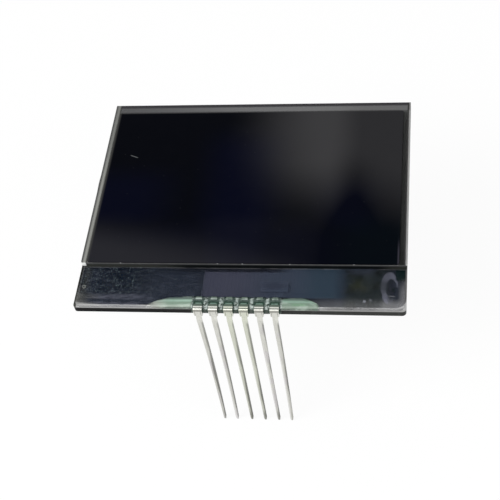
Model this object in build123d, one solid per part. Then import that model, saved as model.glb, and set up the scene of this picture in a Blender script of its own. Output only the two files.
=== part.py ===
from build123d import *
import os

# A bare chip-on-glass display panel. The front face looks up, the pin row lies along X at the
# low-Y edge, and the legs point down, at right angles to the panel. The origin is the centre of
# the glass outline on the rear seating face. All sizes are millimetres.

# Glass
glass_width = 55.2
front_glass_length = 37.4
ledge_depth = 8.5
front_glass_thickness = 1.1
rear_glass_thickness = 1.1
ledge_corner_radius = 0.7
front_glass_corner_radius = 0.25
glass_edge_break = 0.06

# Glue, ink or air between two flat pieces that lie on each other
bond_line = 0.002

# Small shell-shaped nicks along the step's top edge
nick_places = (-20.6, -3.9, 0.3, 8.3, 18.9)
nick_radius = 0.5
nick_stand_off = 0.3

# Sealed cell between the two glasses
cell_gap = 0.01
seal_inset = 0.35
seal_width = 0.8
fill_port_width = 3.2
fill_port_offset = 0.5
crossover_dot_margin = 0.15

# Resin plug over the fill port
plug_length = 6.9
plug_height = 0.16
plug_end_clearance = 0.35

# Polarizing films
polarizer_thickness = 0.2
polarizer_left_margin = 1.05
polarizer_right_margin = 1.3
polarizer_far_margin = 2.2
front_polarizer_step_margin = 0.12
rear_polarizer_step_margin = 1.2
polarizer_corner_radius = 0.5

# Light shield tape behind the ledge
tape_thickness = 0.08
tape_edge_margin = 1.6
tape_side_margin = 0.05
tape_step_clearance = 0.1
tape_corner_radius = 1.8

# Stamped contact pins
pin_count = 6
pin_pitch = 2.54
strip_thickness = 0.3
head_width = 1.5
finger_tip_width = 0.85
finger_reach = 2.2
finger_knee_reach = 1.0
finger_crest_reach = 0.38
finger_crest_rise = 0.42
finger_tip_rise = 0.3
crease_reach = 0.05
crease_width = 0.16
crease_depth = 0.08
prong_width = 0.23
prong_foot_width = 0.14
prong_slot = 0.06
prong_reach = 1.35
prong_knee_reach = 0.62
prong_drop = 0.12
bend_radius = 0.26
shoulder_height = 0.9
leg_length = 34.4
leg_top_width = 0.92
leg_tip_width = 0.54
leg_point_length = 0.7
leg_point_width = 0.26
leg_set_out = 0.22
set_out_drop = 0.6
glass_edge_clearance = 0.16
contact_clearance = 0.01

# How far each leg wanders sideways from its place, halfway down and at its tip
leg_bows = (0.20, 0.06, 0.14, 0.06, -0.03, 0.03)
leg_drifts = (0.05, -0.13, 0.08, 0.05, 0.03, -0.11)

# Printed conductors on the ledge
conductor_thickness = 0.01
pad_width = 1.7
pad_length = 2.3
pad_edge_margin = 0.25
output_track_count = 36
output_track_width = 0.55
output_run_width = 0.04
output_span = 21.4
output_span_centre = 4.85
output_fan_clearance = 0.2
output_land = 0.2
input_track_width = 0.3
track_step_clearance = 0.15

# Driver chip and its bond
chip_length = 4.0
chip_width = 1.15
chip_thickness = 0.45
chip_x = 6.0
chip_from_step = 3.95
bond_film_thickness = 0.02
bond_film_margin = 0.25
chip_corner_radius = 0.08

# Clear coating over the ledge
coating_thickness = 0.12
coating_side_margin = 0.3
coating_edge_margin = 0.2
coating_step_clearance = 0.03
coating_mound_margin = 0.5
coating_mound_radius = 0.35
coating_corner_radius = 1.0

# Resin that holds the pin heads
resin_left_tail = 7.7
resin_right_tail = 6.1
resin_left_fall = 2.5
resin_right_fall = 6
resin_depth = 2.6
resin_end_depth = 0.66
resin_crest = 1.1
resin_head_height = 0.42
resin_valley_height = 0.34
resin_end_height = 0.1
resin_wrap_depth = 0.85
resin_wrap_proud = 0.3
resin_wrap_bulge_drop = 0.25
resin_wrap_roof = 0.5
resin_wrap_overhang = 1.1

# Levels and edges that the pieces share
panel_length = front_glass_length + ledge_depth
pin_edge_y = -panel_length / 2
step_y = pin_edge_y + ledge_depth
far_edge_y = panel_length / 2
right_x = glass_width / 2
left_x = -right_x
rear_glass_z = polarizer_thickness + bond_line
ledge_z = rear_glass_z + rear_glass_thickness
print_z = ledge_z + bond_line
front_glass_z = print_z + cell_gap + bond_line
front_face_z = front_glass_z + front_glass_thickness
conductor_top_z = print_z + conductor_thickness
cover_z = conductor_top_z + bond_line


def plate(left, right, low, high, bottom, thickness, radius=0.0):
    """A flat plate between four edges, its upright corners rounded where a radius is given."""
    centre = Location(((left + right) / 2, (low + high) / 2, bottom))
    if radius > 0:
        outline = RectangleRounded(right - left, high - low, radius)
    else:
        outline = Rectangle(right - left, high - low)
    return centre * extrude(outline, thickness)


def rear_glass():
    sheet = plate(left_x, right_x, pin_edge_y, far_edge_y, rear_glass_z, rear_glass_thickness)
    ledge_corners = sheet.edges().filter_by(Axis.Z).group_by(Axis.Y)[0]
    sheet = fillet(ledge_corners, ledge_corner_radius)
    return chamfer(sheet.faces().sort_by(Axis.Z)[0].edges(), glass_edge_break)


def front_glass():
    sheet = plate(left_x, right_x, step_y, far_edge_y, front_glass_z, front_glass_thickness)
    step_corners = sheet.edges().filter_by(Axis.Z).group_by(Axis.Y)[0]
    sheet = fillet(step_corners, front_glass_corner_radius)
    sheet = chamfer(sheet.faces().sort_by(Axis.Z)[-1].edges(), glass_edge_break)
    nick_y = step_y - nick_stand_off
    nick_z = front_face_z + nick_stand_off
    return sheet - [Pos(x, nick_y, nick_z) * Sphere(nick_radius) for x in nick_places]


def polarizer(bottom, step_margin):
    return plate(
        left_x + polarizer_left_margin,
        right_x - polarizer_right_margin,
        step_y + step_margin,
        far_edge_y - polarizer_far_margin,
        bottom,
        polarizer_thickness,
        polarizer_corner_radius,
    )


def light_shield_tape():
    """The tape behind the ledge, with one corner cut round."""
    strip = plate(
        left_x + tape_side_margin,
        right_x - tape_side_margin,
        pin_edge_y + tape_edge_margin,
        step_y + rear_polarizer_step_margin - tape_step_clearance,
        rear_glass_z - bond_line - tape_thickness,
        tape_thickness,
    )
    pin_side = strip.edges().filter_by(Axis.Z).group_by(Axis.Y)[0]
    return fillet(pin_side.sort_by(Axis.X)[-1], tape_corner_radius)


# The cell's own outlines, measured in from the front glass
seal_left = left_x + seal_inset
seal_right = right_x - seal_inset
seal_low = step_y + seal_inset
seal_high = far_edge_y - seal_inset
fill_port_y = (step_y + far_edge_y) / 2 - fill_port_offset


def seal_ring():
    outer = plate(seal_left, seal_right, seal_low, seal_high, print_z, cell_gap, seal_width)
    inner = plate(
        seal_left + seal_width,
        seal_right - seal_width,
        seal_low + seal_width,
        seal_high - seal_width,
        print_z,
        cell_gap,
        seal_width / 2,
    )
    return outer, inner


def dot_places():
    half = seal_width / 2
    return [
        (seal_left + half + seal_width, seal_low + half),
        (seal_right - half - seal_width, seal_low + half),
        (seal_left + half + seal_width, seal_high - half),
        (seal_right - half - seal_width, seal_high - half),
    ]


def crossover_dots():
    radius = seal_width / 2 - crossover_dot_margin
    return [
        Location((x, y, print_z)) * extrude(Circle(radius), cell_gap) for x, y in dot_places()
    ]


def fill_port():
    """The gap left in the seal, through which the cell is filled."""
    return plate(
        left_x,
        seal_left + seal_width,
        fill_port_y - fill_port_width / 2,
        fill_port_y + fill_port_width / 2,
        print_z,
        cell_gap,
    )


def perimeter_seal():
    outer, inner = seal_ring()
    return outer - inner - fill_port() - crossover_dots()


def liquid_crystal():
    outer, inner = seal_ring()
    return inner + (fill_port() & outer)


def fill_port_plug():
    """A low bead of resin on both glass edges, with a tongue that fills the port's mouth."""
    wall_x = left_x - bond_line
    low = rear_glass_z + plug_end_clearance
    high = front_face_z - plug_end_clearance
    near_end = (wall_x, fill_port_y - plug_length / 2)
    far_end = (wall_x, fill_port_y + plug_length / 2)
    bulge = ThreePointArc(far_end, (wall_x - plug_height, fill_port_y), near_end)
    bead = Pos(Z=low) * extrude(make_face(Curve() + [Line(near_end, far_end), bulge]), high - low)
    tongue = plate(
        wall_x,
        seal_left,
        fill_port_y - fill_port_width / 2,
        fill_port_y + fill_port_width / 2,
        print_z,
        cell_gap,
    )
    return bead + tongue


# The driver chip's place on the ledge
chip_y = step_y - chip_from_step
chip_low = chip_y - chip_width / 2
chip_high = chip_y + chip_width / 2
bond_film_z = cover_z
chip_z = bond_film_z + bond_film_thickness + bond_line


def bond_film_block(growth=0.0):
    """The film's block, or the same with a growth all round for the cover that lies on it."""
    reach = bond_film_margin + growth
    return plate(
        chip_x - chip_length / 2 - reach,
        chip_x + chip_length / 2 + reach,
        chip_low - reach,
        chip_high + reach,
        bond_film_z,
        bond_film_thickness + growth,
    )


def chip_block(growth=0.0):
    return plate(
        chip_x - chip_length / 2 - growth,
        chip_x + chip_length / 2 + growth,
        chip_low - growth,
        chip_high + growth,
        chip_z,
        chip_thickness + growth,
    )


def driver_chip():
    die = chip_block()
    return chamfer(die.faces().sort_by(Axis.Z)[-1].edges(), chip_corner_radius)


def pin_places():
    """X of each pin, left to right."""
    first = -(pin_count - 1) * pin_pitch / 2
    return [first + number * pin_pitch for number in range(pin_count)]


pad_top_y = pin_edge_y + pad_edge_margin + pad_length


def contact_pads():
    low = pad_top_y - pad_length
    half = pad_width / 2
    return [
        plate(x - half, x + half, low, pad_top_y, print_z, conductor_thickness)
        for x in pin_places()
    ]


def printed(points):
    """A flat printed shape on the ledge, from the points of its outline."""
    return Pos(Z=print_z) * extrude(make_face(Polyline(*points, close=True)), conductor_thickness)


def spread(count, span, centre):
    """Evenly spaced places over a span."""
    return [centre + span * (number / (count - 1) - 0.5) for number in range(count)]


def riser(place, low):
    """A straight output track that runs up to the cell."""
    left = place - output_track_width / 2
    right = place + output_track_width / 2
    high = step_y - track_step_clearance
    return printed([(left, low), (right, low), (right, high), (left, high)])


def side_track(side, distance, turn_y, chip_end_y):
    """An output track that leaves the chip's end in a thin run, then turns up to the cell."""
    outer = distance + output_track_width / 2
    inner = distance - output_track_width / 2
    land = chip_length / 2 - output_land
    slope = (chip_end_y - turn_y) / (outer - land)
    high = step_y - track_step_clearance
    corners = [
        (outer, turn_y),
        (land, chip_end_y),
        (land, chip_end_y + output_run_width),
        (inner, turn_y + slope * output_track_width + output_run_width),
        (inner, high),
        (outer, high),
    ]
    return printed([(chip_x + side * reach, y) for reach, y in corners])


def output_tracks():
    """The tracks that fan out from the chip to the cell: nested at its ends, straight above it."""
    places = spread(output_track_count, output_span, output_span_centre)
    side_reach = chip_length / 2 + output_track_width
    fan_low = pad_top_y + output_fan_clearance
    fan_high = chip_high - output_land
    tracks = [riser(x, fan_high) for x in places if abs(x - chip_x) <= side_reach]
    for side in (-1, 1):
        distances = [side * (x - chip_x) for x in places if side * (x - chip_x) > side_reach]
        distances.sort(reverse=True)
        for number, distance in enumerate(distances):
            share = number / len(distances)
            turn_y = fan_low + (fan_high - fan_low) * share
            chip_end_y = chip_low + (fan_high - chip_low) * share
            tracks.append(side_track(side, distance, turn_y, chip_end_y))
    return tracks


def input_tracks():
    """The tracks from the pads to the chip, as wide as a pad at one end and thin at the other."""
    chip_places = spread(pin_count, chip_length - 2 * input_track_width, chip_x)
    tracks = []
    for pad_x, end_x in zip(pin_places(), chip_places):
        corners = [
            (pad_x - pad_width / 2, pad_top_y),
            (pad_x + pad_width / 2, pad_top_y),
            (end_x + input_track_width / 2, chip_low),
            (end_x - input_track_width / 2, chip_low),
        ]
        tracks.append(printed(corners))
    return tracks


def strip_profile(points, radii, growth):
    """The side view of a bent strip, drawn about its centre line in the YZ plane."""
    centre_line = Wire(FilletPolyline(*points, radius=radii).edges())
    outline = centre_line.offset_2d(
        strip_thickness / 2 + growth, kind=Kind.ARC, side=Side.BOTH
    )
    return Plane.YZ * Face(outline)


# Side view of a pin: y is measured inward from the ledge's edge, z up from the ledge
half_strip = strip_thickness / 2
web_y = -(glass_edge_clearance + half_strip)
leg_y = web_y - leg_set_out
knee_z = conductor_top_z - ledge_z + contact_clearance + half_strip
prong_z = -(rear_glass_thickness + contact_clearance + half_strip)
set_out_z = -(rear_glass_thickness + shoulder_height / 2)


def upper_profile(growth=0.0):
    points = [
        (finger_reach, finger_tip_rise),
        (finger_knee_reach, knee_z),
        (finger_crest_reach, finger_crest_rise),
        (web_y, finger_crest_rise),
        (web_y, set_out_z),
        (leg_y, set_out_z - set_out_drop),
        (leg_y, -leg_length),
    ]
    radii = [bend_radius, bend_radius, bend_radius, bend_radius, bend_radius]
    return strip_profile(points, radii, growth)


def prong_profile(growth=0.0):
    points = [
        (web_y, 0.0),
        (web_y, prong_z - prong_drop),
        (prong_knee_reach, prong_z),
        (prong_reach, prong_z - prong_drop),
    ]
    return strip_profile(points, [bend_radius, bend_radius], growth)


def leg_edge(side, bow, drift, low):
    """One long edge of a leg in the front view, from below the head to the start of its point."""
    top_z = -shoulder_height
    return ThreePointArc(
        (side * leg_top_width / 2, top_z),
        (bow + side * (leg_top_width + leg_tip_width) / 4, (top_z + low) / 2),
        (drift + side * leg_tip_width / 2, low),
    )


def front_outline(bow, drift):
    """Front view of the finger, web and leg: a wide head, a shoulder and a tapered, pointed leg."""
    neck = head_width / 2 - prong_width - prong_slot
    top = finger_crest_rise + strip_thickness
    point_z = -leg_length + leg_point_length
    end_z = -leg_length - half_strip
    tip = leg_point_width / 2
    right = leg_edge(1, bow, drift, point_z)
    left = leg_edge(-1, bow, drift, point_z)
    head = Polyline(
        left @ 0,
        (-neck, 0.0),
        (-head_width / 2, 0.0),
        (-head_width / 2, top),
        (head_width / 2, top),
        (head_width / 2, 0.0),
        (neck, 0.0),
        right @ 0,
    )
    point = Polyline(right @ 1, (drift + tip, end_z), (drift - tip, end_z), left @ 1)
    return Plane.XZ * make_face(Curve() + [head, right, point, left])


def finger_outline(growth=0.0):
    """Plan view of the head: full width over the glass edge, narrower at the finger's tip."""
    outer = leg_y - strip_thickness
    tip_y = finger_reach + strip_thickness
    wide = head_width / 2 + growth
    narrow = finger_tip_width / 2 + growth
    outline = Polyline(
        (-wide, outer),
        (wide, outer),
        (wide, finger_crest_reach),
        (narrow, tip_y),
        (-narrow, tip_y),
        (-wide, finger_crest_reach),
        close=True,
    )
    return make_face(outline)


def prong(side):
    """One side arm, which goes down the glass edge, narrows and folds under the glass."""
    outer = head_width / 2
    inner = outer - prong_width
    low = prong_z - prong_drop - strip_thickness
    outline = Polyline(
        (side * outer, 0.0),
        (side * inner, 0.0),
        (side * inner, low),
        (side * (inner + prong_foot_width), low),
        close=True,
    )
    front = extrude(Plane.XZ * make_face(outline), finger_reach, both=True)
    return extrude(prong_profile(), outer, both=True) & front


def crease():
    """The shallow pressed line across the top of a head."""
    top = finger_crest_rise + half_strip
    groove = Polyline(
        (crease_reach - crease_width, top + crease_depth),
        (crease_reach, top - crease_depth),
        (crease_reach + crease_width, top + crease_depth),
        close=True,
    )
    return extrude(Plane.YZ * make_face(groove), head_width, both=True)


def contact_pin(x, bow, drift):
    """A stamped and folded pin that grips the ledge between its finger and two prongs."""
    strip = extrude(upper_profile(), head_width, both=True)
    height = finger_crest_rise + strip_thickness
    depth = leg_length + strip_thickness
    front = extrude(front_outline(bow, drift), finger_reach + strip_thickness, both=True)
    plan = Pos(Z=-depth) * extrude(finger_outline(), depth + height)
    body = (strip & front & plan) - crease()
    return Pos(x, pin_edge_y, ledge_z) * (body + prong(-1) + prong(1))


def pin_socket(x):
    """The room that a pin's head takes in the resin round it."""
    reach = head_width / 2 + bond_line
    depth = rear_glass_thickness
    block = extrude(upper_profile(bond_line), reach, both=True)
    block += extrude(prong_profile(bond_line), reach, both=True)
    plan = Pos(Z=-depth) * extrude(finger_outline(bond_line), depth + 2 * finger_crest_rise)
    return Pos(x, pin_edge_y, ledge_z) * (block & plan)


def contact_pins():
    return [
        contact_pin(x, leg_bows[number % len(leg_bows)], leg_drifts[number % len(leg_drifts)])
        for number, x in enumerate(pin_places())
    ]


def resin_section(x, share, height):
    """The rounded section of the resin at one place along the row, smaller where share is."""
    depth = resin_end_depth + (resin_depth - resin_end_depth) * share
    rise = resin_end_height + (height - resin_end_height) * share
    low = pin_edge_y + glass_edge_break
    crest = (low + depth * resin_crest / resin_depth, cover_z + rise)
    base = Line((low, cover_z), (low + depth, cover_z))
    crown = ThreePointArc((low + depth, cover_z), crest, (low, cover_z))
    return Plane.YZ.offset(x) * make_face(Curve() + [base, crown])


def resin_tail(start, length, fall):
    """Sections from the row's end outwards, closer together near the tip.

    A higher fall keeps the tail full for longer.
    """
    return [
        resin_section(start + length * share, 1 - share**fall, resin_valley_height)
        for share in (0.5, 0.75, 0.9, 1.0)
    ]


def resin_bead():
    """The resin over the pin heads: drawn up at each head, low between them, thin at both ends."""
    sections = []
    for x in pin_places():
        sections += [
            resin_section(x - pin_pitch / 2, 1, resin_valley_height),
            resin_section(x - head_width / 2, 1, resin_head_height),
            resin_section(x + head_width / 2, 1, resin_head_height),
        ]
    row_end = pin_count * pin_pitch / 2
    sections.append(resin_section(row_end, 1, resin_valley_height))
    left = resin_tail(-row_end, -resin_left_tail, resin_left_fall)
    right = resin_tail(row_end, resin_right_tail, resin_right_fall)
    return loft(left[::-1] + sections + right, ruled=True)


def resin_wrap():
    """The resin that has run over the glass edge between the pins."""
    half_row = (pin_count - 1) * pin_pitch / 2 + resin_wrap_overhang
    wall_y = pin_edge_y - bond_line
    low = ledge_z - resin_wrap_depth
    roof_y = pin_edge_y + resin_wrap_roof
    wall = Polyline((wall_y, low), (wall_y, cover_z), (roof_y, cover_z))
    bulge = (pin_edge_y - resin_wrap_proud, ledge_z - resin_wrap_bulge_drop)
    skin = ThreePointArc((roof_y, cover_z), bulge, (wall_y, low))
    section = Plane.YZ.offset(-half_row) * make_face(Curve() + [wall, skin])
    return extrude(section, 2 * half_row, dir=(1, 0, 0))


def pin_adhesive():
    return resin_bead() + resin_wrap() - [pin_socket(x) for x in pin_places()]


def ledge_coating():
    sheet = plate(
        left_x + coating_side_margin,
        right_x - coating_side_margin,
        pin_edge_y + coating_edge_margin,
        step_y - coating_step_clearance,
        cover_z,
        coating_thickness,
    )
    pin_side = sheet.edges().filter_by(Axis.Z).group_by(Axis.Y)[0]
    sheet = fillet(pin_side, coating_corner_radius)
    mound = plate(
        chip_x - chip_length / 2 - coating_mound_margin,
        chip_x + chip_length / 2 + coating_mound_margin,
        chip_low - coating_mound_margin,
        chip_high + coating_mound_margin,
        cover_z,
        chip_z - cover_z + chip_thickness + coating_thickness,
        coating_mound_radius,
    )
    mound = fillet(mound.faces().sort_by(Axis.Z)[-1].edges(), coating_mound_radius)
    resin = resin_bead() + resin_wrap()
    coating = sheet + mound - resin - bond_film_block(bond_line) - chip_block(bond_line)
    # The coating stops at the resin's far side and leaves no scraps on its near slope
    return coating.solids().sort_by(SortBy.VOLUME)[-1]


def pieces():
    parts = {
        "rear_polarizer": polarizer(0.0, rear_polarizer_step_margin),
        "rear_glass": rear_glass(),
        "light_shield_tape": light_shield_tape(),
        "perimeter_seal": perimeter_seal(),
        "crossover_dots": crossover_dots(),
        "liquid_crystal": liquid_crystal(),
        "fill_port_plug": fill_port_plug(),
        "front_glass": front_glass(),
        "front_polarizer": polarizer(front_face_z + bond_line, front_polarizer_step_margin),
        "contact_pads": contact_pads(),
        "conductor_tracks": output_tracks() + input_tracks(),
        "chip_bond_film": bond_film_block(),
        "driver_chip": driver_chip(),
        "ledge_coating": ledge_coating(),
        "pin_adhesive": pin_adhesive(),
    }
    for number, pin in enumerate(contact_pins(), start=1):
        parts[f"contact_pin_{number}"] = pin
    return parts


def solids_of(shape):
    """One compound of the separate solids of a piece."""
    found = []
    for item in shape if isinstance(shape, list) else [shape]:
        found += item.solids()
    return found[0] if len(found) == 1 else Compound(children=found)


if __name__ == "__main__":
    os.makedirs("parts", exist_ok=True)
    for name, shape in pieces().items():
        export_step(solids_of(shape), f"parts/{name}.step")
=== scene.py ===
import bpy
from mathutils import Matrix, Vector


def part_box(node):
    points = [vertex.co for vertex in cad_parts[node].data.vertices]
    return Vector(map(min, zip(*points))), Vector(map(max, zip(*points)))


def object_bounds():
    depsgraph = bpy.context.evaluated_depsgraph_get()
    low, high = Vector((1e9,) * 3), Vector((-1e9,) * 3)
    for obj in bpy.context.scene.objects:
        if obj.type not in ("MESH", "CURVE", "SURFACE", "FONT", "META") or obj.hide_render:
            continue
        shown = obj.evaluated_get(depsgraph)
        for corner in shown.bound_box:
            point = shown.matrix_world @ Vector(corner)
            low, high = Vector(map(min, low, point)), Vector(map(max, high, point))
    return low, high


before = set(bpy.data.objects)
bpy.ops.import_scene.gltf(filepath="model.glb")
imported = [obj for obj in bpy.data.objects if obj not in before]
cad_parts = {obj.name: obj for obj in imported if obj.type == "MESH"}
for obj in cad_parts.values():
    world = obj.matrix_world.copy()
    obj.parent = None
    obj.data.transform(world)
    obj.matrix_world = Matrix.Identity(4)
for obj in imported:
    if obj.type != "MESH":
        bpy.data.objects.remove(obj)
cad_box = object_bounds()

MM = 0.001

# The photograph's viewpoint in the panel's own frame, and its lens
EYE = Vector((31.6, -131.6, 157.7)) * MM
SIGHT = Vector((-0.1524, 0.6049, -0.7816))
UPRIGHT = Vector((-0.0064, 0.7902, 0.6128))
FOCAL_PIXELS = 1181.0
PHOTO_PIXELS = 500.0
SENSOR_MM = 36.0
NEAREST_SEEN = 0.005
FARTHEST_SEEN = 10.0

# The studio's room, lamps and floor, in metres and watts
ROOM_LEVEL = 0.55
LAMP_SIZE = 0.35
KEY_PLACE = (-0.35, -0.30, 0.45)
KEY_WATTS = 3.2
FILL_PLACE = (0.45, -0.35, 0.25)
FILL_WATTS = 1.2
FLOOR_COLOR = (0.92, 0.92, 0.92)
FLOOR_HALF = 1.5
FLOOR_GAP = 0.02 * MM
FLOOR_SHADOW_SHARE = 0.08
WHITE = (1.0, 1.0, 1.0)

# The film's scratch, in millimetres: its middle, and the direction that it runs in
SCRATCH_MIDDLE = (-22.05, 9.75)
SCRATCH_LINE = (0.924, -0.383)

# Oval marks on the ledge, in millimetres: middle in X and from the pin edge, half size each way
DRIED_DROP = (-19.5, 3.4, 5.2, 1.7)
TINY_RING = (-26.35, 4.25, 0.24, 0.26)
RING_OUTSIDE = (24.8, 4.65, 1.5, 3.45)
RING_INSIDE = (25.1, 4.5, 0.84, 1.92)
RING_WELL = (25.1, 4.5, 0.9, 1.9)
RING_SPOT = (25.5, 4.2, 0.40, 0.65)
LEFT_BLOB = (20.8, 1.95, 0.38, 0.42)
RIGHT_BLOB = (21.8, 2.2, 0.28, 0.30)
SEDIMENT = (20.2, 4.9, 2.3, 1.9)
CHIP_SHADOW_HALF = (2.6, 0.9)

# The crest of the resin's right tail, in millimetres in X and from the pin edge
CREST_X = 10.2
CREST_DEPTH = 2.75

# A leg's half width at its top in millimetres, and what the taper takes off it by the tip
LEG_HALF = 0.46
LEG_TAPER = 0.19


# Shader writing: a value that can be used in Python arithmetic, and the sheet of nodes it is on

class Wire:
    """A shader value. Arithmetic on it adds Math nodes to its own sheet."""

    def __init__(self, sheet, socket):
        self.sheet = sheet
        self.socket = socket

    def also(self, out):
        """Another output of the node that this value comes from."""
        return Wire(self.sheet, self.socket.node.outputs[out])

    def _math(self, operation, *values):
        return self.sheet.node("Math", {"operation": operation}, values)

    def __add__(self, other):
        return self._math("ADD", self, other)

    def __radd__(self, other):
        return self._math("ADD", other, self)

    def __sub__(self, other):
        return self._math("SUBTRACT", self, other)

    def __rsub__(self, other):
        return self._math("SUBTRACT", other, self)

    def __mul__(self, other):
        return self._math("MULTIPLY", self, other)

    def __rmul__(self, other):
        return self._math("MULTIPLY", other, self)

    def __truediv__(self, other):
        return self._math("DIVIDE", self, other)

    def __rtruediv__(self, other):
        return self._math("DIVIDE", other, self)

    def __pow__(self, other):
        return self._math("POWER", self, other)

    def __rpow__(self, other):
        return self._math("POWER", other, self)

    def least(self, other):
        return self._math("MINIMUM", self, other)

    def most(self, other):
        return self._math("MAXIMUM", self, other)

    def size(self):
        return self._math("ABSOLUTE", self)

    def held(self):
        """The value kept between 0 and 1."""
        return self.least(1.0).most(0.0)

    def rise(self, none, full):
        """0 at one value and 1 at another, smooth between them, whichever is the larger."""
        sockets = {"Value": self, "From Min": none, "From Max": full}
        return self.sheet.node("MapRange", {"interpolation_type": "SMOOTHSTEP"}, sockets)


class Sheet:
    """The nodes of one finish, of the floor or of the room."""

    def __init__(self, owner):
        owner.use_nodes = True
        self.owner = owner
        self.tree = owner.node_tree
        self.tree.nodes.clear()
        self._place = None

    def node(self, kind, settings, sockets, out=0):
        """Adds one node: its settings first, then the values or links of its sockets."""
        made = self.tree.nodes.new("ShaderNode" + kind)
        for key, value in settings.items():
            setattr(made, key, value)
        if not isinstance(sockets, dict):
            sockets = dict(enumerate(sockets))
        for key, value in sockets.items():
            socket = made.inputs[key]
            if isinstance(value, Wire):
                self.tree.links.new(value.socket, socket)
            elif socket.type == "RGBA":
                socket.default_value = (*value, 1.0)
            else:
                socket.default_value = value
        return Wire(self, made.outputs[out]) if made.outputs else None

    def close(self, shader, kind="OutputMaterial"):
        """Ends the sheet with its one shader."""
        self.node(kind, {}, [shader])
        return self.owner

    def surface(self, sockets):
        return self.close(self.node("BsdfPrincipled", {}, sockets))

    def blend(self, share, first, second, how="MIX"):
        """Goes from the first colour to the second as the share goes from 0 to 1."""
        settings = {"data_type": "RGBA", "blend_type": how}
        sockets = {"Factor": share, "A": first, "B": second}
        return self.node("Mix", settings, sockets, out="Result")

    def lay(self, film, share, color):
        """Lays a haze of one colour over a clear film, taken and given as its tint and cover."""
        tint, cover = film
        total = cover + share - cover * share
        return self.blend(share / total, tint, color), total

    @property
    def place(self):
        """Where the surface is, in metres in the panel's frame."""
        if self._place is None:
            self._place = self.node("TexCoord", {}, [], out="Object")
        return self._place

    def axes(self, letters):
        """The place in millimetres along each axis whose letter is given."""
        parts = self.node("SeparateXYZ", {}, [self.place])
        return [parts.also(letter) / MM for letter in letters]

    def stretched(self, x, y, z):
        """The place, stretched by a factor along each axis."""
        return self.node("VectorMath", {"operation": "MULTIPLY"}, [self.place, (x, y, z)])

    def slanted(self, angle, factor):
        """The place, stretched by a factor along a line at an angle to X."""
        turn = (0.0, 0.0, angle)
        sockets = {"Vector": self.place, "Rotation": turn, "Scale": (factor, 1.0, 1.0)}
        return self.node("Mapping", {"vector_type": "TEXTURE"}, sockets)

    def noise(self, per_mm, detail, at=None, seed=0.0):
        """Soft noise around 0.5, with about per_mm lumps in each millimetre."""
        moved = [at or self.place, (seed, seed, seed)]
        spot = self.node("VectorMath", {"operation": "ADD"}, moved)
        sockets = {"Vector": spot, "Scale": per_mm / MM, "Detail": detail}
        return self.node("TexNoise", {}, sockets)

    def specks(self, per_mm, radius, share):
        """Round specks of a radius in millimetres, at a share of the places scattered on a face."""
        sockets = {"Vector": self.place, "Scale": per_mm / MM}
        away = self.node("TexVoronoi", {"voronoi_dimensions": "2D"}, sockets)
        luck = self.node("SeparateColor", {}, [away.also("Color")])
        full = radius * per_mm
        return away.rise(full, full * 0.35) * luck.rise(share + 0.01, share)

    def facing_up(self):
        """1 on a face that lies flat, about 0.7 on a broken edge and 0 on an upright face."""
        facing = self.node("NewGeometry", {}, [], out="True Normal")
        return self.node("SeparateXYZ", {}, [facing], out="Z").size()

    def inside(self):
        """1 where the far side of a clear piece is met from within."""
        return self.node("NewGeometry", {}, [], out="Backfacing")

    def bump(self, height, depth_mm):
        """Relief whose full height is depth_mm."""
        sockets = {"Height": height, "Strength": 1.0, "Distance": depth_mm * MM}
        return self.node("Bump", {}, sockets)


def finish_sheet(name):
    return Sheet(bpy.data.materials.new(name))


def wear(*names, finish):
    """Gives CAD nodes their finish."""
    for name in names:
        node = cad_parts[name]
        node.data.materials.clear()
        node.data.materials.append(finish)


# Places on the panel that the finishes share, in millimetres

def span(node):
    low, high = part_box(node)
    return Vector(low) / MM, Vector(high) / MM


rear_low, rear_high = span("rear_glass")
front_low, front_high = span("front_glass")
film_low, film_high = span("front_polarizer")
chip_low, chip_high = span("driver_chip")
first_pin_low, first_pin_high = span("contact_pin_1")
last_pin_low, last_pin_high = span("contact_pin_6")
pins = [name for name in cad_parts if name.startswith("contact_pin")]
seal_left = span("perimeter_seal")[0].x
right_edge = rear_high.x
left_edge = rear_low.x
far_edge = rear_high.y
pin_edge = rear_low.y
ledge_top = rear_high.z
step = front_low.y
ledge_depth = step - pin_edge
first_pin = (first_pin_low.x + first_pin_high.x) / 2
last_pin = (last_pin_low.x + last_pin_high.x) / 2
pin_pitch = (last_pin - first_pin) / (len(pins) - 1)
head_half = (first_pin_high.x - first_pin_low.x) / 2
leg_tip = first_pin_low.z


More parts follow.
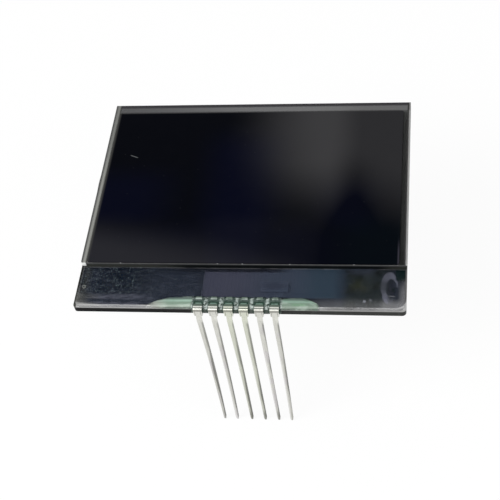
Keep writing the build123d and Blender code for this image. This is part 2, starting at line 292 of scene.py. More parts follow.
def film_finish():
    """Dark polarizing film: almost black, with a painted soft grey reflection and one short
    scratch.
    """
    s = finish_sheet("polarizing_film")
    x, y = s.axes("XY")

    # A painted soft grey reflection, strongest towards the far edge
    wander = s.noise(0.05, 2.0, seed=0.013) - 0.5
    px = x + wander * 3.0
    py = y + wander * 2.0
    lean = (16.0 - y).most(0.0) * 0.17
    column = (px - lean).rise(-8.0, 12.0) ** 1.6 * py.rise(-10.0, 10.0) ** 1.35
    corner = (py + (px - 21.0) * 0.5).rise(-6.0, 10.0) * 0.56
    past = px.rise(13.0, 19.0)
    near_step = (px + (y + 13.5) * 2.6).rise(14.0, -20.0) * py.rise(-2.0, -12.0) * 0.42
    faint = px.rise(-12.0, -2.0) * px.rise(19.0, 6.0) * py.rise(-3.0, -7.0) * 0.055
    mottle = (s.noise(0.4, 4.0) - 0.5) * 0.03
    blot = px.rise(11.5, 17.0) * px.rise(24.0, 17.5) * py.rise(12.0, 4.0) * 0.13
    cloud = column * (1.0 - past) + corner * past + near_step + faint + mottle - blot
    tint = s.blend(cloud.held(), (0.0003, 0.0006, 0.0022), (0.0370, 0.0365, 0.0385))

    # Navy and teal casts
    stripe = x.rise(-12.0, -3.0) * x.rise(9.0, 0.0) * y.rise(19.0, 10.0)
    left_patch = y.rise(9.0, 2.0) * y.rise(-10.0, -3.0) * x.rise(-9.0, -21.0)
    right_patch = x.rise(9.0, 17.0) * x.rise(25.0, 18.0) * y.rise(7.0, 0.0) * y.rise(-10.0, -4.0)
    low_band = y.rise(-2.0, -10.0) * x.rise(22.0, 6.0)
    navy = (stripe * 0.9).most(left_patch * 0.8).most(right_patch * 0.45).most(low_band * 0.5)
    tint = s.blend(navy, tint, (0.0002, 0.0004, 0.0048), how="ADD")
    teal = x.rise(12.0, 21.0) * y.rise(-1.0, -9.0)
    tint = s.blend(teal, tint, (0.0, 0.0009, 0.0010), how="ADD")

    # Pale fringes at the left and far edges, and a streak by the right edge near the step
    left_fringe = (x - film_low.x).rise(0.5, 0.0)
    tint = s.blend(left_fringe * 0.95, tint, (0.045, 0.045, 0.043))
    far_fringe = (film_high.y - y).rise(0.30, 0.10)
    tint = s.blend(far_fringe * 0.75, tint, (0.050, 0.050, 0.051))
    streak = (film_high.x - x - 0.15).size().rise(0.24, 0.06) * y.rise(-8.5, -12.0)
    tint = s.blend(streak * 0.6, tint, (0.045, 0.043, 0.058))

    # The scratch and the dust
    away_x = x - SCRATCH_MIDDLE[0]
    away_y = y - SCRATCH_MIDDLE[1]
    along = away_x * SCRATCH_LINE[0] + away_y * SCRATCH_LINE[1]
    across = away_y * SCRATCH_LINE[0] - away_x * SCRATCH_LINE[1]
    scratch = along.size().rise(0.95, 0.5) * across.size().rise(0.13, 0.04)
    tint = s.blend(scratch * 0.8, tint, (0.11, 0.115, 0.12))
    dust = s.specks(0.5, 0.07, 0.10)
    tint = s.blend(dust * 0.5, tint, (0.06, 0.062, 0.066))
    rough = 0.14 + s.noise(0.08, 2.0) * 0.06 + scratch * 0.3 + dust * 0.2
    return s.surface({
        "Base Color": tint,
        "Roughness": rough,
        "Specular IOR Level": 0.02,
        "Normal": s.bump(s.noise(0.12, 2.0), 0.004),
    })


def rear_film_finish():
    """The rear polarizer: a dark, slightly duller film with handling marks."""
    s = finish_sheet("rear_polarizing_film")
    haze = s.noise(0.06, 3.0)
    smear = s.noise(0.5, 4.0, at=s.stretched(0.25, 1.0, 1.0))
    tint = s.blend(haze, (0.007, 0.008, 0.011), (0.020, 0.021, 0.026))
    tint = s.blend(smear.rise(0.55, 0.8) * 0.3, tint, (0.05, 0.052, 0.056))
    tint = s.blend(s.specks(0.6, 0.08, 0.2) * 0.4, tint, (0.09, 0.09, 0.09))
    return s.surface({
        "Base Color": tint,
        "Roughness": 0.24 + s.noise(0.6, 3.0) * 0.12,
        "Specular IOR Level": 0.2,
        "Normal": s.bump(s.noise(0.2, 2.0), 0.006),
    })


def glass_finish():
    """Thin float glass: clear on its faces, dark on its scribed ends, paler along its arrises."""
    s = finish_sheet("display_glass")
    x, y, z = s.axes("XYZ")

    # Flat faces, cut ends and broken edges, and the places on them
    tilt = s.facing_up()
    end = tilt.rise(0.5, 0.3)
    arris = tilt.rise(0.5, 0.6) * tilt.rise(0.9, 0.8)
    ripple = s.noise(1.3, 4.0, at=s.stretched(1.0, 1.0, 0.3))
    from_left = x - left_edge
    from_right = right_edge - x
    from_far = far_edge - y
    from_pins = y - pin_edge
    past_step = y - step
    off_step = past_step.size()
    up = z - front_low.z
    on_ledge = y.rise(step + 0.1, step - 0.05)
    top = z.rise(front_high.z - 0.3, front_high.z - 0.1)
    far_strip = from_far.rise(2.3, 2.1) * top
    left_strip = from_left.rise(1.12, 1.0) * top
    right_strip = from_right.rise(0.62, 0.48) * top
    ledge_left = from_left.rise(0.64, 0.50) * on_ledge
    ledge_right = from_right.rise(0.5, 0.3) * on_ledge
    pin_rim = from_pins.rise(1.2, 0.3) * on_ledge
    brink = from_pins.rise(0.28, 0.10) * on_ledge

    # Flat faces: the ledge's rims, and the strips that no film covers, with a painted band of light
    # along the left strip
    face = s.blend(pin_rim, (0.018, 0.020, 0.021), (0.14, 0.14, 0.135))
    face = s.blend(brink, face, (0.19, 0.19, 0.185))
    near_pins = y.rise(step - 3.0, pin_edge + 2.0)
    side_tint = s.blend(near_pins, (0.010, 0.011, 0.008), (0.05, 0.051, 0.045))
    face = s.blend(ledge_left, face, side_tint)
    face = s.blend(ledge_right, face, (0.15, 0.15, 0.15))
    border = s.blend(x.rise(-26.0, 4.0), (0.085, 0.085, 0.088), (0.145, 0.145, 0.147))
    border = s.blend(x.rise(12.0, 20.0), border, (0.118, 0.118, 0.119))
    far_tint = s.blend(from_far.rise(0.6, 1.0), (0.036, 0.034, 0.038), border)
    by_film = (from_far - x.rise(-5.0, 8.0) * 0.12).rise(1.65, 2.3)
    far_tint = s.blend(by_film * 0.85, far_tint, (0.016, 0.016, 0.017))
    face = s.blend(far_strip, face, far_tint)
    left_rim = s.blend(from_left.rise(0.4, 1.0), (0.085, 0.086, 0.083), (0.028, 0.028, 0.027))
    # A painted band of light along the left strip, brighter towards the near end
    painted_light_color = s.blend(y.rise(4.0, 14.0), (0.275, 0.278, 0.258), (0.19, 0.192, 0.18))
    painted_light_band = (from_left - 0.62).size().rise(0.42, 0.05)
    face = s.blend(left_strip, face, s.blend(painted_light_band, left_rim, painted_light_color))
    right_tint = s.blend(from_right.rise(0.36, 0.05), (0.030, 0.030, 0.030), (0.30, 0.30, 0.295))
    face = s.blend(right_strip, face, right_tint)

    # Cut ends: darker at the left, nearly black on the step, with a painted highlight along the
    # step's top
    right_share = x.rise(-24.0, 24.0)
    cut = s.blend(right_share, (0.0015, 0.0018, 0.0022), (0.024, 0.025, 0.023))
    cut = s.blend(ripple.rise(0.56, 0.74) * 0.25 * right_share, cut, (0.09, 0.10, 0.095))
    at_pins = from_pins.rise(0.4, 0.2)
    far_cut = s.blend(ripple, (0.014, 0.019, 0.018), (0.050, 0.062, 0.057))
    cut = s.blend(at_pins, far_cut, cut)
    step_face = off_step.rise(0.3, 0.2) * up.rise(-0.1, 0.0)
    grey_ends = x.rise(-8.0, -16.0).most(x.rise(22.5, 26.0) * 0.7)
    shadow_line = s.blend(grey_ends, (0.0012, 0.0014, 0.0022), (0.030, 0.031, 0.028))
    cut = s.blend(step_face * 0.9, cut, shadow_line)
    step_top_highlight = z.rise(front_high.z - 0.40, front_high.z - 0.2)
    cut = s.blend(step_face * step_top_highlight, cut, (0.045, 0.046, 0.048))
    chipped = from_left.rise(1.0, 0.75) * up.rise(0.25, 0.45) * off_step.rise(0.9, 0.6)
    cut = s.blend(chipped, cut, (0.72, 0.73, 0.72))

    # Broken edges: ground glass, with painted glints on the nicks along the step
    ground = s.blend(ripple, (0.08, 0.082, 0.08), (0.24, 0.24, 0.235))
    patchy = s.noise(0.15, 2.0, seed=0.031)
    pin_arris = s.blend(patchy.rise(0.35, 0.6), (0.22, 0.22, 0.215), (0.46, 0.46, 0.45))
    ground = s.blend(at_pins, ground, pin_arris)
    ground = s.blend(at_pins * x.rise(2.0, 8.0) * 0.25, ground, (0.05, 0.05, 0.05))
    at_step = off_step.rise(0.12, 0.07) * up.rise(0.5, 0.7)
    step_arris = s.blend(ripple, (0.03, 0.032, 0.032), (0.13, 0.13, 0.13))
    ground = s.blend(at_step, ground, step_arris)
    nick_glint = past_step.rise(0.06, 0.09) * past_step.rise(0.4, 0.3) * up.rise(0.5, 0.7)
    ground = s.blend(nick_glint.most(chipped), ground, (0.75, 0.76, 0.75))
    tint = s.blend(arris, s.blend(end, face, cut), ground)

    # How much each place hides what lies behind the glass
    strips = far_strip.most(left_strip).most(right_strip)
    pin_cover = pin_rim * (0.6 + x.rise(10.0, 14.0) * 0.15)
    rims = (brink * 0.92).most(ledge_left * 0.9).most(ledge_right * 0.7).most(pin_cover)
    cover = (0.10 + strips * 0.8).most(rims).most(end).most(arris)
    seen = 1.0 - s.inside() * (1.0 - end)
    return s.surface({
        "Base Color": tint,
        "Roughness": 0.04 + end * (0.08 + ripple * 0.2) + arris * 0.4,
        "Alpha": cover * seen,
        "IOR": 1.52,
        "Specular IOR Level": 0.05,
        "Normal": s.bump(ripple * end, 0.02),
    })


def seal_finish():
    """Grey epoxy seal seen through the glass, with painted light at the left and painted shade at
    the right.
    """
    s = finish_sheet("seal_resin")
    x, y = s.axes("XY")
    grain = s.noise(2.0, 4.0)
    # Painted light along the left border, and painted shade along the right
    left = (x - left_edge).rise(1.15, 0.3)
    right = (right_edge - x).rise(1.6, 1.1)
    tint = s.blend(grain, (0.095, 0.093, 0.096), (0.14, 0.138, 0.14))
    tint = s.blend(x.rise(-10.0, 10.0) * 0.5, tint, (0.16, 0.158, 0.16))
    tint = s.blend(left, tint, (0.36, 0.365, 0.34))
    shadow = s.blend(y.rise(4.0, 14.0), (0.060, 0.061, 0.059), (0.085, 0.086, 0.083))
    shadow = s.blend(y.rise(-8.0, -12.5), shadow, (0.036, 0.037, 0.035))
    tint = s.blend(right, tint, shadow)
    return s.surface({
        "Base Color": tint, "Roughness": 0.55 + grain * 0.2, "Specular IOR Level": 0.2
    })


def paste_finish():
    """Silver paste dots that join the two glasses' conductors."""
    s = finish_sheet("conductive_paste")
    grain = s.noise(12.0, 4.0)
    tint = s.blend(grain, (0.16, 0.16, 0.155), (0.26, 0.255, 0.25))
    return s.surface({"Base Color": tint, "Roughness": 0.45 + grain * 0.3, "Metallic": 0.5})


def fluid_finish():
    """The liquid crystal: grey where no film covers it, fading under the film's edge."""
    s = finish_sheet("liquid_crystal_fluid")
    x, y = s.axes("XY")
    flow = s.noise(0.25, 3.0)
    tint = s.blend(flow, (0.105, 0.105, 0.108), (0.135, 0.134, 0.137))
    tint = s.blend((y - film_high.y).rise(0.9, -0.1) * 0.6, tint, (0.055, 0.055, 0.058))
    # Painted shade along the right edge, and the left border's painted light in the fill port
    tint = s.blend((right_edge - x).rise(2.2, 1.4), tint, (0.014, 0.0145, 0.014))
    port = (x - seal_left).rise(0.9, 0.1)
    tint = s.blend(port, tint, (0.34, 0.345, 0.32))
    return s.surface({
        "Base Color": tint,
        "Roughness": 0.3 + flow * 0.1,
        "Alpha": 0.94,
        "Specular IOR Level": 0.2,
    })


def plug_finish():
    """Cured resin on the fill port, dull and dirty."""
    s = finish_sheet("plug_resin")
    x = s.axes("X")[0]
    grime = s.noise(1.5, 5.0)
    tint = s.blend(grime.rise(0.4, 0.75), (0.008, 0.009, 0.007), (0.05, 0.05, 0.04))
    # The left border's painted light where the plug fills the port
    in_port = x.rise(left_edge - 0.03, left_edge + 0.03)
    tint = s.blend(in_port, tint, (0.30, 0.305, 0.28))
    return s.surface({
        "Base Color": tint,
        "Roughness": 0.35 + grime * 0.3,
        "Specular IOR Level": 0.15,
        "Normal": s.bump(grime, 0.05),
    })


def tape_finish():
    """Black film tape behind the ledge, with a blue cast."""
    s = finish_sheet("shield_tape")
    x = s.axes("X")[0]
    grain = s.noise(0.35, 3.0, at=s.stretched(0.35, 1.0, 1.0))
    tint = s.blend(grain, (0.007, 0.011, 0.021), (0.013, 0.018, 0.031))
    tint = s.blend((x - left_edge).rise(2.2, 0.6), tint, (0.030, 0.032, 0.026))
    tint = s.blend(x.rise(16.5, 18.5) * x.rise(26.5, 24.0), tint, (0.007, 0.012, 0.007))
    return s.surface({
        "Base Color": tint,
        "Roughness": 0.4 + s.noise(2.5, 4.0) * 0.2,
        "Specular IOR Level": 0.12,
        "Normal": s.bump(s.noise(5.0, 3.0), 0.006),
    })


def die_finish():
    """The driver chip's ground silicon."""
    s = finish_sheet("silicon_die")
    grain = s.noise(6.0, 3.0, at=s.stretched(0.3, 2.0, 1.0))
    tint = s.blend(grain, (0.014, 0.018, 0.032), (0.022, 0.027, 0.044))
    return s.surface({
        "Base Color": tint, "Roughness": 0.3 + grain * 0.15, "Specular IOR Level": 0.1
    })


def bond_finish():
    """The film that bonds the chip to the ledge: matt and slightly blue."""
    s = finish_sheet("bond_film")
    grain = s.noise(8.0, 3.0)
    tint = s.blend(grain, (0.036, 0.042, 0.064), (0.046, 0.053, 0.080))
    return s.surface({
        "Base Color": tint, "Roughness": 0.5 + grain * 0.1, "Specular IOR Level": 0.1
    })


def field_color(s, x):
    """The bluish cast of the track field: mauve at the left and teal at the right."""
    cast = s.blend(x.rise(-2.0, 8.0), (0.055, 0.058, 0.089), (0.044, 0.058, 0.089))
    return s.blend(x.rise(8.0, 14.0), cast, (0.033, 0.058, 0.087))


def conductor_finish():
    """Thin clear conductor: a faint bluish film that fades out at the right."""
    s = finish_sheet("clear_conductor")
    x = s.axes("X")[0]
    drift = s.noise(0.3, 3.0, at=s.stretched(1.0, 0.4, 1.0))
    tint = s.blend(drift * 0.35, field_color(s, x), (0.060, 0.068, 0.090))
    fading = x.rise(14.0, 9.0)
    return s.surface({
        "Base Color": tint,
        "Roughness": 0.25 + drift * 0.1,
        "Alpha": (0.1 + fading * 0.45) * (1.0 - s.inside()),
        "Specular IOR Level": 0.05,
    })


def coating_finish():
    """Clear silicone over the ledge, with a hazy track field, dust, dried rims and pale edges."""
    s = finish_sheet("clear_coating")
    x, y = s.axes("XY")
    depth = y - pin_edge
    wave = s.noise(0.25, 3.0)
    wisp = s.noise(0.8, 4.0, at=s.stretched(0.4, 1.0, 1.0))
    cloud = s.noise(0.5, 4.0, seed=0.021)

    def oval(mark):
        """Distance from the middle of a slightly wavy oval mark, 1 on its rim."""
        middle_x, middle_depth, half_x, half_depth = mark
        away_x = (x - middle_x + (wisp - 0.5) * 0.5) / half_x
        away_y = (depth - middle_depth) / half_depth
        return (away_x * away_x + away_y * away_y) ** 0.5

    def rim(away, half_stroke):
        """1 on an oval's rim, drawn with a soft stroke."""
        return (away - 1.0).size().rise(half_stroke, half_stroke * 0.3)

    film = s.blend(wave, (0.035, 0.045, 0.070), (0.060, 0.070, 0.100)), 0.12 + cloud * 0.06

    # The dark left part, with a ragged outline
    ragged = (cloud - 0.5) * 5.0
    left_dark = (x + ragged).rise(-25.6, -23.4) * (x + ragged).rise(-13.0, -19.5)
    left_dark = left_dark * (depth + ragged * 0.3).rise(2.4, 4.0)
    film = s.lay(film, left_dark * 0.58, (0.001, 0.004, 0.009))

    # The paler track field, the painted shade beyond it and the painted shadow round the chip
    track_top = depth.rise(7.65, 7.45).most(x.rise(6.0, 9.0))
    track_field = x.rise(-5.95, -5.55) * x.rise(18.6, 15.2) * depth.rise(2.2, 2.6) * track_top
    film = s.lay(film, track_field * 0.5, field_color(s, x))
    shade = depth.rise(7.5, 7.8) * x.rise(9.0, 4.0) * x.rise(-14.0, -8.0)
    film = s.lay(film, shade * 0.45, (0.001, 0.001, 0.002))
    chip_middle = (chip_low + chip_high) / 2
    chip_shadow = oval((chip_middle.x, chip_middle.y - pin_edge, *CHIP_SHADOW_HALF))
    film = s.lay(film, chip_shadow.rise(1.1, 0.4) * 0.5, (0.018, 0.022, 0.037))

    # Flow lines, dust and specks
    drop_rim = rim(oval(DRIED_DROP), 0.10) * wisp.rise(0.4, 0.6)
    brushed = s.noise(2.4, 5.0, at=s.stretched(0.3, 1.0, 1.0), seed=0.007)
    flow_lines = brushed.rise(0.48, 0.70) * (0.03 + x.rise(-5.9, -6.6) * 0.07)
    film = s.lay(film, drop_rim * 0.10 + flow_lines, (0.14, 0.16, 0.21))
    dusty = x.rise(-9.0, -20.5) * depth.rise(1.8, 3.4)
    dust = s.specks(1.1, 0.10, 0.06).most(s.specks(2.1, 0.09, 0.15) * 0.6)
    fine_dust = s.specks(3.1, 0.09, 0.30) * 0.45
    specks = dust.most(fine_dust) * dusty
    stray = s.specks(1.1, 0.09, 0.10) * x.rise(-5.0, -12.0) * 0.6
    olive_specks = s.specks(1.8, 0.10, 0.25) * x.rise(17.0, 18.5) * x.rise(23.2, 22.0) * 0.4
    film = s.lay(film, specks.most(stray).most(olive_specks) * 0.8, (0.22, 0.28, 0.29))
    film = s.lay(film, rim(oval(TINY_RING), 0.6) * 0.40, (0.30, 0.31, 0.28))
    olive = x.rise(16.5, 18.5) * x.rise(24.0, 22.5)
    film = s.lay(film, cloud.rise(0.45, 0.65) * olive * 0.6, (0.004, 0.006, 0.004))

    # Hazes of the left end
    dark_streak = depth.rise(1.95, 1.65) * depth.rise(1.0, 1.25) * x.rise(-26.5, -24.5)
    left_haze = depth.rise(3.15, 2.35) * x.rise(-12.5, -19.5)
    left_haze = left_haze * (0.12 + brushed.rise(0.3, 0.7) * 0.30)
    haze_color = s.blend(x.rise(-22.0, -26.0), (0.13, 0.135, 0.175), (0.125, 0.125, 0.120))
    film = s.lay(film, left_haze * (1.0 - dark_streak * 0.8), haze_color)
    left_edge_haze = x.rise(-26.2, -27.2) * (0.06 + depth.rise(5.0, 1.2) * 0.5)
    film = s.lay(film, left_edge_haze, (0.12, 0.12, 0.11))
    left_corner = (depth + (x - left_edge) * 0.12).rise(1.35, 0.85) * depth.rise(0.15, 0.4)
    film = s.lay(film, left_corner * x.rise(-18.0, -22.0) * 0.38, (0.60, 0.60, 0.59))

    # Hazes and casts of the right end
    far_glow = x.rise(17.0, 19.0) * x.rise(23.2, 21.0) * depth.rise(6.6, 8.4)
    film = s.lay(film, far_glow * 0.32, (0.050, 0.060, 0.090))
    green = x.rise(25.6, 25.9) * depth.rise(5.9, 6.3) * (0.8 + x.rise(26.2, 26.8) * 0.14)
    film = s.lay(film, green, (0.001, 0.007, 0.007))
    corner_haze = x.rise(23.0, 24.2) * x.rise(27.4, 26.2) * depth.rise(2.6, 1.2) * 0.16
    film = s.lay(film, corner_haze, (0.40, 0.40, 0.40))
    right_edge_haze = x.rise(25.9, 27.2) * depth.rise(7.2, 3.2)
    film = s.lay(film, right_edge_haze * 0.6, (0.17, 0.17, 0.175))

    # The dried ring, open at its right, with a spot in its well
    ring = oval(RING_OUTSIDE).rise(1.0, 0.86) * oval(RING_INSIDE).rise(0.92, 1.12)
    right_gap = x.rise(25.1, 25.6) * depth.rise(5.2, 4.6)
    near_gap = x.rise(24.3, 24.9) * depth.rise(3.4, 2.6)
    ring = ring * (1.0 - right_gap.most(near_gap * 0.7))
    ring = ring * (0.24 + depth.rise(4.6, 3.2) * 0.34 + depth.rise(5.4, 6.8) * 0.26)
    ring = ring * (1.0 + x.rise(25.3, 25.8) * depth.rise(6.4, 6.0) * 0.7)
    ring = ring * (0.82 + x.rise(24.4, 25.4).most(depth.rise(3.8, 3.2)) * 0.3)
    ring = ring * (1.0 - x.rise(25.6, 26.0) * depth.rise(5.9, 6.3))
    film = s.lay(film, ring * (0.7 + wisp * 0.6), (0.125, 0.130, 0.170))
    well = oval(RING_WELL).rise(1.0, 0.6)
    film = s.lay(film, well * 0.25, (0.016, 0.013, 0.026))
    spot = oval(RING_SPOT).rise(1.0, 0.4)
    film = s.lay(film, spot * 0.6, (0.001, 0.006, 0.005))
    tick = (depth - 3.0).size().rise(0.14, 0.05) * (x - 25.2).size().rise(0.6, 0.4)
    film = s.lay(film, tick * 0.4, (0.26, 0.27, 0.30))

    # Blobs and sediment beside the ring
    blobs = oval(LEFT_BLOB).rise(1.0, 0.4).most(oval(RIGHT_BLOB).rise(1.0, 0.4) * 0.6)
    film = s.lay(film, blobs * 0.5, (0.24, 0.25, 0.29))
    sediment = oval(SEDIMENT).rise(1.0, 0.2) * cloud.rise(0.3, 0.6)
    film = s.lay(film, sediment * 0.35, (0.034, 0.038, 0.018))

    # Haze along the pin edge and at the foot of the step
    near_pins = depth.rise(2.9, 0.8) * x.rise(10.5, 15.0)
    thick = 0.14 + x.rise(22.8, 24.3) * 0.06 - x.rise(26.3, 27.2) * 0.12
    film = s.lay(film, near_pins * thick * (0.8 + cloud * 0.4), (0.44, 0.44, 0.45))
    brim = depth.rise(0.9, 0.6) * x.size().rise(13.0, 16.0)
    beside_tail = x.rise(12.6, 13.6) * x.rise(18.0, 16.5) * 0.3
    film = s.lay(film, brim * (0.25 + beside_tail), (0.12, 0.12, 0.118))
    foot = (depth - ledge_depth + 0.14).size().rise(0.14, 0.05) * wisp.rise(0.3, 0.55)
    film = s.lay(film, foot * 0.5, (0.10, 0.10, 0.105))

    tint, cover = film
    return s.surface({
        "Base Color": tint,
        "Roughness": 0.12 + wave * 0.10 + cover * 0.2,
        "Alpha": cover.held() * (1.0 - s.inside()),
        "Specular IOR Level": 0.07,
        "Normal": s.bump(wave * 0.6 + wisp * 0.2, 0.02),
    })


def resin_finish():
    """Green light-cured resin: minty and streaked in its tails, with painted shade where it climbs
    the pins and painted glints between them.
    """
    s = finish_sheet("green_resin")
    x, y = s.axes("XY")
    depth = y - pin_edge

    # Streaks that lean away from the middle
    rising = s.noise(1.1, 4.0, at=s.slanted(0.16, 4.0))
    falling = s.noise(1.1, 4.0, at=s.slanted(-0.30, 2.5))
    streak = rising * x.rise(1.0, -1.0) + falling * x.rise(-1.0, 1.0)
    swirl = s.noise(1.4, 4.0)

    # The row of pins: the distance from the nearest one, and painted shade on its flanks and in its
    # pressed crease
    row_end = last_pin + head_half
    in_row = x.size().rise(row_end + 0.7, row_end + 0.1)
    pins_along = (x - first_pin) / pin_pitch
    from_pin = s.node("Math", {"operation": "PINGPONG"}, [pins_along, 0.5]) * pin_pitch
    climbing_resin_and_shade = from_pin.rise(head_half + 0.40, head_half + 0.10) * in_row
    recess_resin_and_shade = from_pin.rise(head_half + 0.1, head_half - 0.05) * in_row
    recess_resin_and_shade = recess_resin_and_shade * depth.rise(0.25, 0.42) * depth.rise(1.5, 1.2)

    # The two tails, from the pin edge inward
    body = s.blend(depth.rise(0.15, 0.5), (0.10, 0.12, 0.10), (0.29, 0.36, 0.30))
    body = s.blend(depth.rise(0.55, 0.95), body, (0.19, 0.27, 0.21))
    body = s.blend(depth.rise(1.1, 1.5), body, (0.31, 0.46, 0.37))
    body = s.blend(depth.rise(1.55, 2.0), body, (0.105, 0.150, 0.130))
    body = s.blend(depth.rise(2.1, 2.65), body, (0.06, 0.095, 0.095))
    body = s.blend(streak.rise(0.5, 0.68) * 0.55, body, (0.10, 0.19, 0.13))
    body = s.blend(streak.rise(0.46, 0.34) * 0.45, body, (0.50, 0.60, 0.52))
    body = s.blend(x.rise(-11.0, -14.5) * 0.7, body, (0.34, 0.33, 0.31))
    body = s.blend(x.rise(4.0, 8.0) * 0.24, body, (0.05, 0.09, 0.06))
    rich = (x - 10.3).size().rise(1.6, 0.6) * (depth - 0.95).size().rise(0.35, 0.12)
    body = s.blend(rich * 0.6, body, (0.16, 0.29, 0.18))

    # The resin between the pins, with painted glints and dark gaps
    glint_pattern = s.noise(2.2, 3.0, seed=0.051)
    between = s.blend(glint_pattern.rise(0.38, 0.60), (0.03, 0.05, 0.04), (0.52, 0.60, 0.56))
    between = s.blend(depth.rise(2.0, 2.5), between, (0.055, 0.070, 0.082))
    line = (depth - 1.5).size().rise(0.4, 0.1)
    between = s.blend(line * 0.5, between, (0.28, 0.34, 0.33))
    over_edge = s.blend(swirl, (0.030, 0.038, 0.032), (0.080, 0.095, 0.082))
    between = s.blend(depth.rise(0.04, -0.08), between, over_edge)
    brown = s.specks(0.9, 0.3, 0.4) * x.rise(2.0, 3.0) * depth.rise(0.2, -0.1)
    between = s.blend(brown * 0.7, between, (0.10, 0.085, 0.035))

    # The resin on the pins: dark resin and painted shade where it climbs them and in their
    # recesses, a painted highlight along their knees, and grains beside the row
    tint = s.blend(in_row, body, between)
    tint = s.blend(climbing_resin_and_shade * 0.85, tint, (0.010, 0.034, 0.024))
    tint = s.blend(recess_resin_and_shade, tint, (0.009, 0.036, 0.022))
    # A painted highlight along the knee of each head
    knee_highlight_line = (depth - 0.97).size().rise(0.15, 0.04)
    knee_highlight_line = knee_highlight_line * from_pin.rise(head_half * 0.85, head_half * 0.6)
    tint = s.blend(knee_highlight_line * in_row * swirl.rise(0.3, 0.5), tint, (0.15, 0.23, 0.19))
    grains = s.specks(2.6, 0.10, 0.22) * x.rise(row_end, row_end + 0.5) * depth.rise(1.7, 1.3)
    tint = s.blend(grains * 0.45, tint, (0.09, 0.14, 0.11))

    # Where the resin thins out: past the right tail's crest, at both ends and inward
    crest = CREST_DEPTH - (CREST_X - x).most(0.0) * 0.25 - (x - CREST_X).most(0.0) * 0.45
    above_crest = (depth - crest).rise(-0.15, 0.15) * x.rise(row_end, row_end + 0.3)
    tail_end = x.rise(-13.2, -15.3).most(x.rise(13.1, 13.7) * 0.6)
    faded = (1.0 - tail_end * 0.85) * (1.0 - depth.rise(2.1, 2.7) * 0.45) * (1.0 - above_crest)
    cover = (0.94 - in_row * 0.14 + climbing_resin_and_shade * 0.1) * faded
    return s.surface({
        "Base Color": tint,
        "Roughness": 0.12 + swirl * 0.15,
        "Alpha": cover * (1.0 - s.inside()),
        "Specular IOR Level": 0.25,
        "Normal": s.bump(streak * 0.5 + swirl * 0.5, 0.05),
    })


def tin_finish():
    """Tin plate on stamped bronze: drawn along the strip, with a painted highlight at each leg's
    left and painted shade at its right, wet with resin.
    """
    s = finish_sheet("tinned_strip")
    x, y, z = s.axes("XYZ")
    inward = y - pin_edge
    above = z - ledge_top
    drawn = s.noise(5.0, 4.0, at=s.stretched(1.0, 1.0, 0.06))
    blotch = s.noise(0.7, 3.0)
    streak = s.noise(1.1, 3.0, at=s.stretched(1.0, 1.0, 0.08))
    run = (ledge_top - z) / (ledge_top - leg_tip)
    on_leg = above.rise(-2.2, -3.4)

    # The tin itself, darker down each leg
    tint = s.blend(blotch, (0.56, 0.56, 0.52), (0.72, 0.72, 0.67))
    middle_pins = x.size().rise(pin_pitch * 1.1, pin_pitch * 0.9)
    tint = s.blend(middle_pins * 0.5, tint, (0.60, 0.64, 0.50))
    tint = s.blend(run.rise(0.0, 0.35) * 0.25, tint, (0.40, 0.40, 0.36))
    tint = s.blend(run.rise(0.35, 0.85) * 0.25, tint, (0.30, 0.295, 0.27))
    inner_legs = x.rise(-3.2, -2.2) * x.rise(5.8, 4.8)
    tint = s.blend(run.rise(0.88, 0.95) * (0.25 + inner_legs * 0.45), tint, (0.14, 0.14, 0.12))
    tint = s.blend(drawn.rise(0.5, 0.75) * 0.3, tint, (0.36, 0.35, 0.29))
    lilac = s.noise(0.22, 2.0, seed=0.057).rise(0.48, 0.62) * (1.0 - middle_pins) * on_leg
    tint = s.blend(lilac * 0.5, tint, (0.50, 0.47, 0.50))

    # A painted highlight along each leg's left edge and painted shade along its right
    pins_along = (x - first_pin) / pin_pitch + 0.5
    in_pitch = s.node("Math", {"operation": "FLOORED_MODULO"}, [pins_along, 1.0])
    aside = (in_pitch - 0.5) * pin_pitch / (LEG_HALF - run * LEG_TAPER)
    painted_leg_highlight = aside.rise(-0.1, -0.7) * run.rise(0.15, 0.5) * on_leg
    painted_leg_highlight = painted_leg_highlight * (0.45 + x.rise(first_pin + 1.0, first_pin) * 0.45)
    tint = s.blend(painted_leg_highlight, tint, (0.95, 0.95, 0.93))
    shaded = (aside + (streak - 0.5) * 2.4).rise(0.35, 0.95) * on_leg
    tint = s.blend(shaded * (0.6 + run * 0.3), tint, (0.09, 0.09, 0.078))

    # The heads: painted shade in the crease and under the bend, resin-wet slopes darkened with
    # painted shade, a painted highlight on the knee, and patchy darker tips
    crease_shade = (inward + 0.06).size().rise(0.20, 0.08) * above.rise(0.25, 0.35)
    tint = s.blend(crease_shade * 0.9, tint, (0.12, 0.14, 0.125))
    under_bend_shade = inward.rise(-0.26, -0.34) * above.rise(-0.10, 0.05) * above.rise(0.56, 0.30)
    tint = s.blend(under_bend_shade * 0.7, tint, (0.15, 0.15, 0.13))
    resin_wet_and_shade = inward.rise(0.22, 0.34) * above.rise(-0.1, 0.1)
    tint = s.blend(resin_wet_and_shade * 0.9, tint, (0.030, 0.070, 0.045))
    mid_head = aside.size().rise(1.15, 0.85)
    knee_highlight = (inward - 1.0).size().rise(0.14, 0.05) * above.rise(-0.1, 0.1) * mid_head
    tint = s.blend(knee_highlight * 0.9, tint, (0.20, 0.30, 0.24))
    tip = inward.rise(1.25, 1.40) * inward.rise(2.15, 1.95) * above.rise(-0.1, 0.1)
    patchy = s.noise(0.9, 4.0, seed=0.043)
    tip_color = s.blend(patchy.rise(0.35, 0.65), (0.09, 0.13, 0.11), (0.38, 0.44, 0.41))
    tint = s.blend(tip * 0.9, tint, tip_color)
    return s.surface({
        "Base Color": tint,
        "Roughness": 0.30 + drawn * 0.14 + blotch * 0.08,
        "Metallic": 0.85 - resin_wet_and_shade * 0.5,
        "Normal": s.bump(drawn, 0.012),
    })


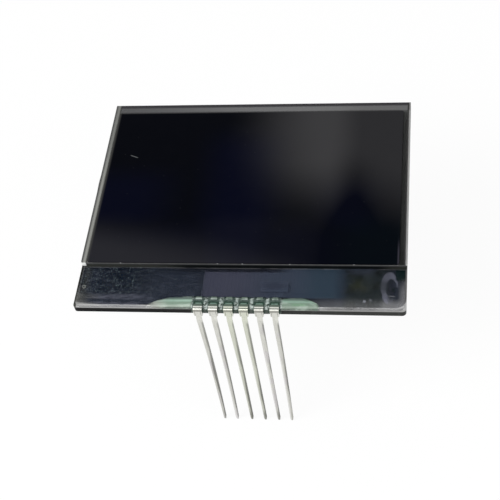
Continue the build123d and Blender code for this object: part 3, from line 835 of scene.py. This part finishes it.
def dress_panel():
    wear("front_polarizer", finish=film_finish())
    wear("rear_polarizer", finish=rear_film_finish())
    wear("front_glass", "rear_glass", finish=glass_finish())
    wear("perimeter_seal", finish=seal_finish())
    wear("crossover_dots", finish=paste_finish())
    wear("liquid_crystal", finish=fluid_finish())
    wear("fill_port_plug", finish=plug_finish())
    wear("light_shield_tape", finish=tape_finish())
    wear("driver_chip", finish=die_finish())
    wear("chip_bond_film", finish=bond_finish())
    wear("contact_pads", "conductor_tracks", finish=conductor_finish())
    wear("ledge_coating", finish=coating_finish())
    wear("pin_adhesive", finish=resin_finish())
    wear(*pins, finish=tin_finish())


# The studio: a white floor, soft lamps, a pale room and the camera

def direct_rays(s):
    """1 for rays that the camera sends, straight or through gloss and glass."""
    straight = s.node("LightPath", {}, [], out="Is Camera Ray")
    bounced = straight.also("Is Glossy Ray").most(straight.also("Is Transmission Ray"))
    return straight.most(bounced)


def floor_finish():
    """A white floor that keeps a faint shadow of the panel."""
    s = finish_sheet("white_floor")
    plain = s.node("BsdfDiffuse", {}, {"Color": FLOOR_COLOR})
    glow = s.node("Emission", {}, {"Color": WHITE})
    share = direct_rays(s) * (1.0 - FLOOR_SHADOW_SHARE)
    return s.close(s.node("MixShader", {}, [share, plain, glow]))


def build_floor():
    mesh = bpy.data.meshes.new("studio_floor")
    half = FLOOR_HALF
    corners = [(-half, -half, 0), (half, -half, 0), (half, half, 0), (-half, half, 0)]
    mesh.from_pydata(corners, [], [(0, 1, 2, 3)])
    mesh.materials.append(floor_finish())
    floor = bpy.data.objects.new("studio_floor", mesh)
    floor.location.z = cad_box[0].z - FLOOR_GAP
    bpy.context.collection.objects.link(floor)


def build_room():
    room = bpy.data.worlds.new("pale_room")
    bpy.context.scene.world = room
    s = Sheet(room)
    light = s.node("Background", {}, {"Color": (ROOM_LEVEL, ROOM_LEVEL, ROOM_LEVEL)})
    white = s.node("Background", {}, {"Color": WHITE})
    s.close(s.node("MixShader", {}, [direct_rays(s), light, white]), kind="OutputWorld")


def soft_lamp(name, place, watts):
    """A square soft lamp that faces the panel's middle."""
    light = bpy.data.lights.new(name, "AREA")
    light.shape = "SQUARE"
    light.size = LAMP_SIZE
    light.energy = watts
    lamp = bpy.data.objects.new(name, light)
    lamp.location = place
    lamp.rotation_mode = "QUATERNION"
    lamp.rotation_quaternion = (-Vector(place)).to_track_quat("-Z", "Y")
    bpy.context.collection.objects.link(lamp)


def build_lamps():
    soft_lamp("key_lamp", KEY_PLACE, KEY_WATTS)
    soft_lamp("fill_lamp", FILL_PLACE, FILL_WATTS)


def build_camera():
    data = bpy.data.cameras.new("photo_camera")
    data.sensor_fit = "HORIZONTAL"
    data.sensor_width = SENSOR_MM
    data.lens = SENSOR_MM * FOCAL_PIXELS / PHOTO_PIXELS
    data.clip_start = NEAREST_SEEN
    data.clip_end = FARTHEST_SEEN
    camera = bpy.data.objects.new("photo_camera", data)
    back = -SIGHT.normalized()
    right = UPRIGHT.cross(back).normalized()
    up = back.cross(right)
    turn = Matrix((right, up, back)).transposed()
    camera.rotation_mode = "QUATERNION"
    camera.rotation_quaternion = turn.to_quaternion()
    camera.location = EYE
    bpy.context.collection.objects.link(camera)
    bpy.context.scene.camera = camera


dress_panel()
build_floor()
build_room()
build_lamps()
build_camera()
bpy.context.scene.view_settings.view_transform = "Standard"
